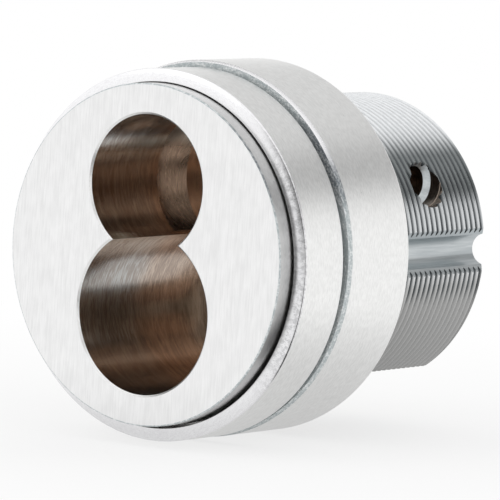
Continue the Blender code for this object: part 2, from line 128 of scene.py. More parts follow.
# The thread, which the solids leave out
THREAD_PITCH = 0.00079375
THREAD_DEPTH = 0.00040
THREAD_OVERCUT = 0.00004
THREAD_ROOT_FLAT = 0.00012
THREAD_FLANK_SLOPE = math.tan(math.radians(30.0))
CREST_EDGE_DEPTH = 0.00003
CREST_EDGE_SLOPE = math.tan(math.radians(58.0))

# How far the plating reaches into the cavity
PLATED_DEPTH = 0.009

# How finely round shapes are cut
BODY_SEGMENTS = 144
RING_SEGMENTS = 256
BORE_SEGMENTS = 128
SMALL_SEGMENTS = 48
GROOVE_STEPS = 16
THREAD_STEPS = 96

# How far cutters run past what they cut, how near points count as one, and what counts as sharp or flat
OVERRUN = 0.001
MERGE = 1e-7
SOLID_MERGE = 1e-6
EDGE_REACH = 1e-5
SHARP_ANGLE = math.radians(33.0)
FLAT_ANGLE = math.radians(0.5)

UPPER_LOBE = Vector((0.0, 0.0, UPPER_LOBE_HEIGHT))
LOWER_LOBE = Vector((0.0, 0.0, -LOWER_LOBE_DROP))
LUG_RECESS = Vector((-LUG_RECESS_SHIFT, 0.0, UPPER_LOBE_HEIGHT))
AXIS_ORIGIN = Vector((0.0, 0.0, 0.0))


class Term:
    """A socket of a node tree. Arithmetic on it adds Math nodes to the tree."""

    def __init__(self, tree, socket):
        self.tree = tree
        self.socket = socket

    def worked(self, operation, *values):
        node = self.tree.nodes.new("ShaderNodeMath")
        node.operation = operation
        for place, value in enumerate(values):
            feed(self.tree, node.inputs[place], value)
        return Term(self.tree, node.outputs[0])

    def __add__(self, other):
        return self.worked("ADD", self, other)

    def __radd__(self, other):
        return self.worked("ADD", other, self)

    def __sub__(self, other):
        return self.worked("SUBTRACT", self, other)

    def __rsub__(self, other):
        return self.worked("SUBTRACT", other, self)

    def __mul__(self, other):
        return self.worked("MULTIPLY", self, other)

    def __rmul__(self, other):
        return self.worked("MULTIPLY", other, self)

    def __truediv__(self, other):
        return self.worked("DIVIDE", self, other)

    def __rtruediv__(self, other):
        return self.worked("DIVIDE", other, self)

    def root(self):
        return self.worked("SQRT", self)

    def most(self, other):
        return self.worked("MAXIMUM", self, other)

    def clipped(self):
        return self.worked("MAXIMUM", self.worked("MINIMUM", self, 1.0), 0.0)


def feed(tree, socket, value):
    """Links a Term to a socket, or sets the socket to a plain value."""
    if isinstance(value, Term):
        tree.links.new(value.socket, socket)
    elif hasattr(socket.default_value, "__len__") and len(socket.default_value) == 4:
        socket.default_value = (*value, 1.0)
    else:
        socket.default_value = value


class Tree:
    """A node tree with one method that adds any node."""

    def __init__(self, tree):
        self.tree = tree

    def add(self, kind, settings=None, inputs=None, output=0):
        node = self.tree.nodes.new(kind)
        for name, value in (settings or {}).items():
            setattr(node, name, value)
        for name, value in (inputs or {}).items():
            feed(self.tree, node.inputs[name], value)
        return Term(self.tree, node.outputs[output])

    def split(self, vector):
        """The three parts of a vector."""
        node = self.tree.nodes.new("ShaderNodeSeparateXYZ")
        feed(self.tree, node.inputs[0], vector)
        return [Term(self.tree, out) for out in node.outputs]

    def joined(self, x, y, z):
        return self.add("ShaderNodeCombineXYZ", inputs={"X": x, "Y": y, "Z": z})

    def noise(self, vector, scale=1.0, detail=2.0, roughness=0.5):
        """Soft noise around 0.5."""
        return self.add(
            "ShaderNodeTexNoise",
            {"noise_dimensions": "3D"},
            {"Vector": vector, "Scale": scale, "Detail": detail, "Roughness": roughness},
        )

    def ramp(self, value, low, high):
        """0 below one value and 1 above the other, with a soft step between them."""
        return self.add(
            "ShaderNodeMapRange",
            {"interpolation_type": "SMOOTHSTEP"},
            {"Value": value, "From Min": low, "From Max": high},
        )

    def between(self, value, foot, head):
        """1 between two soft edges and 0 beyond them."""
        return self.ramp(value, *foot) * (1.0 - self.ramp(value, *head))

    def mixed(self, share, first, second):
        """A colour between two others."""
        node = self.tree.nodes.new("ShaderNodeMix")
        node.data_type = "RGBA"
        feed(self.tree, node.inputs["Factor"], share)
        feed(self.tree, node.inputs[6], first)
        feed(self.tree, node.inputs[7], second)
        return Term(self.tree, node.outputs[2])


class Metal(Tree):
    """A metal finish: a material with its own place on the piece, and its Principled shader."""

    def __init__(self, name, metallic=1.0):
        self.material = bpy.data.materials.new(name)
        self.material.use_nodes = True
        super().__init__(self.material.node_tree)
        self.shader = self.tree.nodes["Principled BSDF"]
        self.shader.inputs["Metallic"].default_value = metallic
        self.place = self.add("ShaderNodeTexCoord", output="Object")

    def around(self, x, y, z, length_share, across):
        """Where a point lies for marks that run round the Y axis: long along the turn, fine across."""
        radius = (x * x + z * z).root().most(1e-6)
        turn = z / radius * length_share + radius * across
        return self.joined(x / radius * length_share, y * across, turn)

    def finished(self, colour, roughness, marks, depth, strength):
        """The material, with marks from 0 to 1 that stand for a real depth."""
        relief = {"Height": marks, "Distance": depth, "Strength": strength}
        feed(self.tree, self.shader.inputs["Base Color"], colour)
        feed(self.tree, self.shader.inputs["Roughness"], roughness)
        feed(self.tree, self.shader.inputs["Normal"], self.add("ShaderNodeBump", inputs=relief))
        return self.material


def toned(colour, tone):
    """A colour made darker or lighter."""
    return [tone * part for part in colour]


# Finishes. A density counts marks to the metre, and a zone's two values are where it sets in and where
# it is full.

CHROME = (0.94, 0.941, 0.932)
CHROME_SHADE = (0.83, 0.831, 0.822)
FACE_CHROME = (0.93, 0.93, 0.93)
FACE_SHADE = (0.82, 0.82, 0.82)
LIP_CHROME = (0.95, 0.95, 0.96)
LIP_SHADE = (0.89, 0.885, 0.90)
# Greys of the dark reflection painted on the lip's right side
LIP_REFLECTION_GREY = (0.84, 0.84, 0.85)
LIP_REFLECTION_DARK = (0.54, 0.54, 0.55)
TURNED_GREY = (0.90, 0.92, 0.92)
TURNED_SHADE = (0.50, 0.55, 0.56)
# Greys of the shade painted on the blocking ring's front
PAINTED_SHADE_GREY = (0.62, 0.64, 0.65)
PAINTED_SHADE_DARK = (0.16, 0.18, 0.20)
# The chamfer's painted highlight
CHAMFER_HIGHLIGHT = (0.95, 0.945, 0.96)
THREAD_CHROME = (0.90, 0.915, 0.93)
THREAD_SHADE = (0.80, 0.82, 0.835)
# Thread colours: the painted dark reflection, the lower grey, and painted shade with grime for the roots
THREAD_DARK_REFLECTION = (0.13, 0.145, 0.145)
THREAD_LOWER_GREY = (0.47, 0.47, 0.465)
THREAD_ROOT_GRIME_AND_SHADE = (0.09, 0.10, 0.105)
BARE_METAL = (0.76, 0.63, 0.53)
BARE_SHADE = (0.50, 0.405, 0.34)
PLATED_BORE = (0.72, 0.72, 0.70)
PLATED_SHADE = (0.50, 0.45, 0.41)
# The recess's painted highlight
BORE_HIGHLIGHT = (0.95, 0.90, 0.82)
MILLED_CHROME = (0.60, 0.63, 0.64)
MILLED_SHADE = (0.45, 0.485, 0.50)
# The dark reflection painted on the grooves' upper flanks
MILLED_FLANK_REFLECTION = (0.40, 0.44, 0.455)
ZINC = (0.66, 0.65, 0.60)
ZINC_SHADE = (0.54, 0.53, 0.49)
OILED = (0.27, 0.26, 0.25)
OILED_SHADE = (0.14, 0.135, 0.13)

HAIRLINE_DEPTH = 0.00001
MARK_DEPTH = 0.00002
GRAIN_DEPTH = 0.00003
BORE_MARK_DEPTH = 0.000006

# Where the key face's brush lines run: they lean a little from upright
BRUSH_LEAN = 0.045
BRUSH_DENSITY = 7200.0
TURNED_DENSITY = 6800.0
LIP_DENSITY = 5200.0
THREAD_MARK_DENSITY = 9000.0
BORE_MARK_DENSITY = 8200.0
MILLED_DENSITY = 5200.0

# Zones in X and Z where shade, highlights and dark reflections are painted, and where the thread turns
# greyer
LIP_REFLECTION_SIDE = (0.0105, 0.016)
PAINTED_SHADE_FOOT = (0.004, 0.0075)
PAINTED_SHADE_HEAD = (0.0105, 0.0145)
CHAMFER_HIGHLIGHT_ZONE = (0.0075, 0.0115)
RIGHT_SIDE = (0.0, 0.004)
THREAD_LOWER_HEAD = (-0.0036, -0.0008)
THREAD_FAINT_HEAD = (-0.0054, -0.0034)
THREAD_CROWN = (0.0085, 0.0120)
HOLE_REFLECTION_FOOT = (0.0042, 0.0060)
HOLE_REFLECTION_HEAD = (0.0088, 0.0112)
SIDE_REFLECTION_FOOT = (0.0005, 0.0022)
SIDE_REFLECTION_HEAD = (0.0088, 0.0125)
RECESS_HIGHLIGHT_ZONE = (0.0026, 0.0036)
FLANK_REFLECTION_FOOT = (0.0005, 0.0012)
FLANK_REFLECTION_HEAD = (0.003, 0.0036)


def satin_face():
    """The key face: satin chrome with fine, nearly upright brush lines."""
    metal = Metal("satin_chrome_face")
    x, y, z = metal.split(metal.place)
    along = z + x * BRUSH_LEAN
    across = x - z * BRUSH_LEAN
    lines = metal.noise(metal.joined(across * BRUSH_DENSITY, y * 900.0, along * 420.0), detail=3.0)
    cloud = metal.noise(metal.joined(across * 900.0, 0.0, along * 500.0), detail=3.0)
    share = metal.ramp(lines * 0.6 + cloud * 0.4, 0.3, 0.7)
    colour = metal.mixed(share, FACE_SHADE, FACE_CHROME)
    return metal.finished(colour, 0.32 + (lines - 0.5) * 0.12, lines, HAIRLINE_DEPTH, 0.35)


def satin_turned(name, tone):
    """The rings and the head's side: satin chrome with fine lines round the axis. A tone under 1 paints
    shade on it."""
    metal = Metal(name)
    x, y, z = metal.split(metal.place)
    lines = metal.noise(metal.around(x, y, z, 34.0, TURNED_DENSITY), detail=3.0)
    cloud = metal.noise(metal.around(x, y, z, 24.0, 900.0), detail=2.0)
    share = metal.ramp(lines * 0.8 + cloud * 0.2, 0.34, 0.66)
    colour = metal.mixed(share, toned(CHROME_SHADE, tone), toned(CHROME, tone))
    return metal.finished(colour, 0.31 + (lines - 0.5) * 0.14, lines, MARK_DEPTH, 0.3)


def polished_lip():
    """The cup ring's front lip, smoother and whiter than its brushed side, with a mottled dark
    reflection painted on its right.
    """
    metal = Metal("polished_chrome_lip")
    x, y, z = metal.split(metal.place)
    lines = metal.noise(metal.around(x, y, z, 40.0, LIP_DENSITY), detail=3.0)
    grains = metal.noise(metal.place, scale=2400.0, detail=4.0, roughness=0.7)
    share = metal.ramp(lines * 0.7 + grains * 0.3, 0.32, 0.64)
    clean = metal.mixed(share, LIP_SHADE, LIP_CHROME)
    # A mottled dark reflection painted on the lip's right side.
    painted_dark = metal.mixed(metal.ramp(grains, 0.36, 0.6), LIP_REFLECTION_DARK, LIP_REFLECTION_GREY)
    colour = metal.mixed(metal.ramp(x, *LIP_REFLECTION_SIDE) * 0.85, clean, painted_dark)
    return metal.finished(colour, 0.24 + (lines - 0.5) * 0.1, lines, HAIRLINE_DEPTH, 0.2)


def speckled(name, highlight):
    """The blocking ring's front, left as turned: grey, rough and flecked, with shade painted on its
    upper right, where the cup ring shades it. Its second argument, above 0, paints a highlight on it
    towards the top."""
    metal = Metal(name, metallic=0.5)
    x, y, z = metal.split(metal.place)
    grains = metal.noise(metal.place, scale=5200.0, detail=3.0, roughness=0.7)
    rings = metal.noise(metal.around(x, y, z, 30.0, 5200.0), detail=2.0)
    share = metal.ramp(grains * 0.6 + rings * 0.4, 0.42, 0.66)
    # Shade painted on the upper right of the front, where the cup ring shades it.
    painted_shade = metal.between(z, PAINTED_SHADE_FOOT, PAINTED_SHADE_HEAD) * metal.ramp(x, *RIGHT_SIDE)
    grey = metal.mixed(share, TURNED_SHADE, TURNED_GREY)
    painted_dark = metal.mixed(painted_shade, grey, metal.mixed(share, PAINTED_SHADE_DARK, PAINTED_SHADE_GREY))
    # A highlight painted on the chamfer towards the top, where it reflects the bright space above.
    white = metal.ramp(z, *CHAMFER_HIGHLIGHT_ZONE) * highlight
    colour = metal.mixed(white, painted_dark, CHAMFER_HIGHLIGHT)
    return metal.finished(colour, 0.55 - 0.3 * white + (grains - 0.5) * 0.3, grains, GRAIN_DEPTH, 0.6)


def cut_thread():
    """The threaded body, plated over the cutting marks. Painted shade with grime darkens its roots, a
    dark reflection is painted on its right round the side hole, and below the groove it turns greyer
    with faint roots. Its rear face stays clean."""
    metal = Metal("chrome_thread")
    x, y, z = metal.split(metal.place)
    radius = (x * x + z * z).root()
    skin = metal.ramp(radius, BODY_RADIUS - THREAD_DEPTH * 1.6, BODY_RADIUS - THREAD_DEPTH * 1.2)
    root = skin - metal.ramp(radius, BODY_RADIUS - THREAD_DEPTH * 0.6, BODY_RADIUS - HAIRLINE_DEPTH)
    # Greyer and rougher towards the bottom.
    lower_part = skin * (1.0 - metal.ramp(z, *THREAD_LOWER_HEAD))
    faint = 1.0 - metal.ramp(z, *THREAD_FAINT_HEAD)
    # A dark reflection painted on the right side, strongest round the side hole.
    hole_reflection = metal.between(z, HOLE_REFLECTION_FOOT, HOLE_REFLECTION_HEAD) * 0.62
    side_reflection = metal.ramp(z, *SIDE_REFLECTION_FOOT) * 0.26
    reflection_reach = metal.ramp(x, *RIGHT_SIDE) * (1.0 - metal.ramp(z, *SIDE_REFLECTION_HEAD)) * skin
    painted_reflection = (hole_reflection + side_reflection) * reflection_reach
    marks = metal.noise(metal.around(x, y, z, 30.0, THREAD_MARK_DENSITY), detail=2.0)
    grime_and_shade_mottle = metal.noise(metal.place, scale=420.0, detail=4.0)
    clean = metal.mixed(metal.ramp(marks, 0.3, 0.7), THREAD_SHADE, THREAD_CHROME)
    crest = metal.mixed(lower_part, metal.mixed(painted_reflection, clean, THREAD_DARK_REFLECTION), THREAD_LOWER_GREY)
    # Painted shade, with grime, darkens the roots; less of it is painted at the top and hardly any
    # towards the bottom.
    root_grime_and_shade = root * (0.75 + 0.5 * grime_and_shade_mottle) * (1.0 - 0.95 * faint)
    sunk = root_grime_and_shade * (1.0 - 0.7 * metal.ramp(z, *THREAD_CROWN))
    colour = metal.mixed(sunk.clipped(), crest, THREAD_ROOT_GRIME_AND_SHADE)
    roughness = 0.2 + lower_part * 0.1 + faint * 0.2 + (marks - 0.5) * 0.2
    return metal.finished(colour, roughness, marks, MARK_DEPTH, 0.4)


def bored(name, centre, tone, roughness, highlight=0.0):
    """A cavity wall with tool marks round the bore's own axis. The plating thins out with depth, and
    bare brown metal shows beyond it. A tone under 1 paints shade on the wall, and the last argument,
    above 0, paints a highlight on its top."""
    metal = Metal(name)
    placed = metal.add(
        "ShaderNodeMapping", {"vector_type": "POINT"}, {"Vector": metal.place, "Location": -centre}
    )
    x, y, z = metal.split(placed)
    marks = metal.noise(metal.around(x, y, z, 7.0, BORE_MARK_DENSITY), detail=2.0, roughness=0.6)
    bands = metal.noise(metal.around(x, y, z, 2.0, 1900.0), detail=3.0)
    stain = metal.noise(metal.place, scale=260.0, detail=2.0)
    share = metal.ramp(marks * 0.55 + bands * 0.33 + stain * 0.12, 0.43, 0.57)
    bare = metal.mixed(share, toned(BARE_SHADE, tone), toned(BARE_METAL, tone))
    plated = metal.mixed(share, PLATED_SHADE, PLATED_BORE)
    ragged_y = y + (stain - 0.5) * 0.004 + (bands - 0.5) * 0.002
    depth = metal.ramp(ragged_y, FACE + PLATED_DEPTH * 0.75, FACE + PLATED_DEPTH * 1.15)
    # A highlight painted on the top of the wall.
    crown_highlight = metal.ramp(z, *RECESS_HIGHLIGHT_ZONE) * highlight
    colour = metal.mixed(crown_highlight, metal.mixed(depth, plated, bare), BORE_HIGHLIGHT)
    worked = roughness + crown_highlight * 0.2 + (bands - 0.5) * 0.1
    return metal.finished(colour, worked, marks, BORE_MARK_DEPTH, 0.4)


def milled():
    """Grooves, flat and hole ledge milled in the body, plated over the cutter's marks. A dark reflection
    is painted on the grooves' upper flanks."""
    metal = Metal("milled_chrome")
    x, y, z = metal.split(metal.place)
    streaks = metal.noise(metal.joined(x * MILLED_DENSITY, y * 260.0, z * MILLED_DENSITY), detail=3.0)
    broad = metal.noise(metal.joined(x * 900.0, y * 60.0, z * 900.0), detail=2.0)
    share = metal.ramp(streaks * 0.5 + broad * 0.5, 0.36, 0.64)
    # A dark reflection painted on the grooves' upper flanks, which face down towards the shaded floor.
    flank_reflection = metal.between(z, FLANK_REFLECTION_FOOT, FLANK_REFLECTION_HEAD)
    colour = metal.mixed(flank_reflection, metal.mixed(share, MILLED_SHADE, MILLED_CHROME), MILLED_FLANK_REFLECTION)
    return metal.finished(colour, 0.33 + (streaks - 0.5) * 0.16, streaks, MARK_DEPTH, 0.4)


def zinc_plate():
    """Bright zinc plating on pressed and turned steel, a little cloudy."""
    metal = Metal("plated_steel")
    x, y, z = metal.split(metal.place)
    cloud = metal.noise(metal.place, scale=240.0, detail=4.0, roughness=0.6)
    grain = metal.noise(metal.joined(x * 2600.0, y * 2600.0, z * 320.0), detail=3.0)
    share = metal.ramp(cloud * 0.6 + grain * 0.4, 0.36, 0.64)
    colour = metal.mixed(share, ZINC_SHADE, ZINC)
    return metal.finished(colour, 0.33 + (cloud - 0.5) * 0.3, grain, GRAIN_DEPTH, 0.4)


def oiled_steel():
    """Dark oiled spring steel."""
    metal = Metal("spring_steel")
    x, y, z = metal.split(metal.place)
    cloud = metal.noise(metal.place, scale=380.0, detail=4.0)
    marks = metal.noise(metal.around(x, y, z, 6.0, 3600.0), detail=2.0)
    share = metal.ramp(cloud * 0.5 + marks * 0.5, 0.36, 0.64)
    colour = metal.mixed(share, OILED_SHADE, OILED)
    return metal.finished(colour, 0.34 + (cloud - 0.5) * 0.3, marks, MARK_DEPTH, 0.4)


# Shapes


def stood_along_y(front, rear, centre):
    """Lays what was made about Z at the origin along Y, between two planes."""
    middle = centre + Vector((0.0, (front + rear) / 2, 0.0))
    return Matrix.Translation(middle) @ Matrix.Rotation(math.pi / 2, 4, "X")


def turned(profile, segments, centre=AXIS_ORIGIN):
    """A closed shape spun about Y from (radius, y) pairs that run round its section."""
    shape = bmesh.new()
    points = [shape.verts.new((radius, y, 0.0)) for radius, y in profile]
    chain = [shape.edges.new(pair) for pair in zip(points, points[1:])]
    if profile[0][0] > 0.0:
        chain.append(shape.edges.new((points[-1], points[0])))
    bmesh.ops.spin(
        shape,
        geom=points + chain,
        cent=(0.0, 0.0, 0.0),
        axis=(0.0, 1.0, 0.0),
        angle=2 * math.pi,
        steps=segments,
        use_merge=True,
    )
    bmesh.ops.remove_doubles(shape, verts=shape.verts, dist=MERGE)
    bmesh.ops.recalc_face_normals(shape, faces=shape.faces)
    bmesh.ops.translate(shape, vec=centre, verts=shape.verts)
    return shape


def drum(radius, front, rear, segments, centre):
    """A plain cylinder along Y whose ends are one face each."""
    shape = bmesh.new()
    bmesh.ops.create_cone(
        shape,
        cap_ends=True,
        segments=segments,
        radius1=radius,
        radius2=radius,
        depth=rear - front,
        matrix=stood_along_y(front, rear, centre),
    )
    return shape


def flared_drum(radius, front, rear, flare, segments, centre):
    """A cylinder along Y that goes on past its front end as a 45 degree flare in its second finish."""
    shape = drum(radius, front, rear, segments, AXIS_ORIGIN)
    front_end = min(shape.faces, key=lambda face: face.calc_center_median().y)
    grown = bmesh.ops.extrude_face_region(shape, geom=[front_end])
    rim = [part for part in grown["geom"] if isinstance(part, bmesh.types.BMVert)]
    shape.faces.remove(front_end)
    spread = (radius + flare) / radius
    bmesh.ops.scale(shape, vec=(spread, 1.0, spread), verts=rim)
    bmesh.ops.translate(shape, vec=(0.0, -flare, 0.0), verts=rim)
    bmesh.ops.recalc_face_normals(shape, faces=shape.faces)
    for part in shape.faces:
        if part.calc_center_median().y < front:
            part.material_index = 1
    bmesh.ops.translate(shape, vec=centre, verts=shape.verts)
    return shape


def block(low, high):
    """A box between two corners."""
    middle = (Vector(low) + Vector(high)) / 2
    sides = Vector(high) - Vector(low)
    shape = bmesh.new()
    bmesh.ops.create_cube(shape, matrix=Matrix.LocRotScale(middle, None, sides))
    return shape


def round_edges(shape, radius, y, width, segments=3):
    """Rounds the ring of edges that lies at one radius and one plane."""
    rings = [
        edge
        for edge in shape.edges
        if all(
            abs(math.hypot(v.co.x, v.co.z) - radius) < EDGE_REACH and abs(v.co.y - y) < EDGE_REACH
            for v in edge.verts
        )
    ]
    bmesh.ops.bevel(
        shape, geom=rings, offset=width, segments=segments, profile=0.5, affect="EDGES", material=-1
    )


def round_sharp_edges(shape, width, least_angle, segments=2):
    """Rounds every edge where two faces meet at more than an angle."""
    sharp = [edge for edge in shape.edges if edge.is_manifold and edge.calc_face_angle() > least_angle]
    bmesh.ops.bevel(
        shape,
        geom=sharp,
        offset=width,
        offset_type="OFFSET",
        segments=segments,
        profile=0.5,
        affect="EDGES",
        clamp_overlap=True,
        material=-1,
    )


def new_object(name, shape, *finishes):
    """Turns a shape into an object at the origin, shaded smooth between its sharp edges."""
    mesh = bpy.data.meshes.new(name)
    shape.to_mesh(mesh)
    shape.free()
    for finish in finishes:
        mesh.materials.append(finish)
    smooth(mesh)
    piece = bpy.data.objects.new(name, mesh)
    bpy.context.scene.collection.objects.link(piece)
    return piece


def smooth(mesh):
    """Shades a mesh smooth up to the angle that counts as sharp."""
    mesh.shade_smooth()
    mesh.set_sharp_from_angle(angle=SHARP_ANGLE)


def carve(piece, cutters):
    """Takes each cutter's shape out of the piece. A cut face has its cutter's finish. Slivers without
    area are merged away, which keeps the shell closed."""
    for cutter in cutters:
        boolean = piece.modifiers.new(cutter.name, "BOOLEAN")
        boolean.operation = "DIFFERENCE"
        boolean.solver = "EXACT"
        boolean.material_mode = "TRANSFER"
        boolean.object = cutter
    graph = bpy.context.evaluated_depsgraph_get()
    mesh = bpy.data.meshes.new_from_object(piece.evaluated_get(graph))
    shape = bmesh.new()
    shape.from_mesh(mesh)
    bmesh.ops.triangulate(shape, faces=shape.faces)
    bmesh.ops.dissolve_degenerate(shape, dist=MERGE, edges=shape.edges)
    shape.to_mesh(mesh)
    shape.free()
    piece.modifiers.clear()
    piece.data = mesh
    smooth(mesh)
    for cutter in cutters:
        bpy.data.objects.remove(cutter)


def copy_of(node):
    """The node's mesh as a shape of its own, with its doubled points merged and its flats whole."""
    shape = bmesh.new()
    shape.from_mesh(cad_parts[node].data)
    bmesh.ops.remove_doubles(shape, verts=shape.verts, dist=SOLID_MERGE)
    bmesh.ops.dissolve_limit(shape, angle_limit=FLAT_ANGLE, verts=shape.verts, edges=shape.edges)
    return shape


def stands_for(piece, body, slot, *nodes):
    """Evens the piece's shading and rides it on its body in the place of the nodes that it shows."""
    even = piece.modifiers.new("even_shading", "WEIGHTED_NORMAL")
    even.keep_sharp = True
    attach(piece, body)
    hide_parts(*nodes)


# Cutters of the housing


def groove_cutter(side):
    """A set-screw groove on one side: a round bottom with flared sides, run along the body."""
    nose_x = GROOVE_BOTTOM + GROOVE_NOSE_RADIUS
    start = math.pi - GROOVE_NOSE_HALF_SWEEP
    flare_x = nose_x + GROOVE_NOSE_RADIUS * math.cos(start)
    flare_z = GROOVE_NOSE_RADIUS * math.sin(start)
    mouth_x = math.sqrt(BODY_RADIUS**2 - GROOVE_MOUTH_HALF_WIDTH**2)
    flare = (GROOVE_MOUTH_HALF_WIDTH - flare_z) / (mouth_x - flare_x)
    outer_x = BODY_RADIUS + OVERRUN
    outer_z = flare_z + flare * (outer_x - flare_x)
    front = FACE + HEAD_THICKNESS + RELIEF_LENGTH / 2
    shape = bmesh.new()
    first = shape.verts.new((flare_x, front, flare_z))
    bmesh.ops.spin(
        shape,
        geom=[first],
        cent=(nose_x, front, 0.0),
        axis=(0.0, 1.0, 0.0),
        angle=-2 * GROOVE_NOSE_HALF_SWEEP,
        steps=GROOVE_STEPS,
        use_merge=False,
    )
    shape.verts.ensure_lookup_table()
    nose = sorted(shape.verts, key=lambda point: -point.co.z)
    upper = shape.verts.new((outer_x, front, outer_z))
    lower = shape.verts.new((outer_x, front, -outer_z))
    shape.edges.new((upper, nose[0]))
    shape.edges.new((nose[-1], lower))
    shape.edges.new((lower, upper))
    end = bmesh.ops.contextual_create(shape, geom=shape.edges[:])["faces"]
    length = BODY_REAR + OVERRUN - front
    grown = bmesh.ops.extrude_face_region(shape, geom=end)
    far = [part for part in grown["geom"] if isinstance(part, bmesh.types.BMVert)]
    bmesh.ops.translate(shape, vec=(0.0, length, 0.0), verts=far)
    if side < 0:
        bmesh.ops.scale(shape, vec=(-1.0, 1.0, 1.0), verts=shape.verts)
    bmesh.ops.recalc_face_normals(shape, faces=shape.faces)
    return shape


def side_hole_cutter():
    """The counterbored cross hole on the right, spun about its own axis and laid along X. Its ledge is
    in its second finish."""
    counterbore = SIDE_HOLE_RADIUS + SIDE_LEDGE_WIDTH
    skin = math.sqrt(BODY_RADIUS**2 - UPPER_LOBE_HEIGHT**2)
    profile = [
        (0.0, BODY_RADIUS + OVERRUN),
        (counterbore + SIDE_HOLE_EDGE, BODY_RADIUS + OVERRUN),
        (counterbore + SIDE_HOLE_EDGE, skin),
        (counterbore, skin - SIDE_HOLE_EDGE),
        (counterbore, SIDE_LEDGE_X),
        (SIDE_HOLE_RADIUS, SIDE_LEDGE_X - SIDE_LEDGE_LENGTH),
        (SIDE_HOLE_RADIUS, UPPER_LOBE_RADIUS / 2),
        (0.0, UPPER_LOBE_RADIUS / 2),
    ]
    shape = turned(profile, SMALL_SEGMENTS)
    for part in shape.faces:
        if SIDE_LEDGE_X - SIDE_LEDGE_LENGTH < part.calc_center_median().y < SIDE_LEDGE_X:
            part.material_index = 1
    laid_along_x = Matrix.Rotation(-math.pi / 2, 4, "Z")
    placed = Matrix.Translation((0.0, SIDE_HOLE_Y, UPPER_LOBE_HEIGHT))
    bmesh.ops.transform(shape, matrix=placed @ laid_along_x, verts=shape.verts)
    return shape


def thread_cutter():
    """One V-shaped ribbon wound round the body as a right-hand helix, a pitch for each turn. It flares
    at its mouth, which rounds the crests."""
    root = BODY_RADIUS - THREAD_DEPTH
    top = BODY_RADIUS + THREAD_OVERCUT
    shoulder = BODY_RADIUS - CREST_EDGE_DEPTH
    half_root = THREAD_ROOT_FLAT / 2
    half_shoulder = half_root + (shoulder - root) * THREAD_FLANK_SLOPE
    half_top = half_shoulder + (top - shoulder) * CREST_EDGE_SLOPE
    start = FACE + HEAD_THICKNESS + RELIEF_LENGTH / 2
    turns = math.ceil((BODY_REAR + THREAD_PITCH - start) / THREAD_PITCH)
    shape = bmesh.new()
    rear_side = [(root, half_root), (shoulder, half_shoulder), (top, half_top)]
    section = rear_side + [(radius, -y) for radius, y in reversed(rear_side)]
    corners = [shape.verts.new((radius, start + y, 0.0)) for radius, y in section]
    end = shape.faces.new(corners)
    bmesh.ops.spin(
        shape,
        geom=[end],
        cent=(0.0, 0.0, 0.0),
        axis=(0.0, 1.0, 0.0),
        dvec=(0.0, THREAD_PITCH / THREAD_STEPS, 0.0),
        angle=2 * math.pi * turns,
        steps=THREAD_STEPS * turns,
        use_merge=False,
    )
    bmesh.ops.recalc_face_normals(shape, faces=shape.faces)
    return shape


# Pieces


def lobe_cut(name, radius, centre, wall_finish, mouth_finish):
    """One lobe of the cavity, bored from the key face and flared at its mouth."""
    shape = flared_drum(
        radius, FACE + MOUTH_EDGE, CAVITY_REAR, MOUTH_EDGE + OVERRUN, BORE_SEGMENTS, centre
    )
    return new_object(name, shape, wall_finish, mouth_finish)


def bore_cut(name, radius, front, rear, centre, finish):
    """A plain bore between two planes."""
    return new_object(name, drum(radius, front, rear, BORE_SEGMENTS, centre), finish)


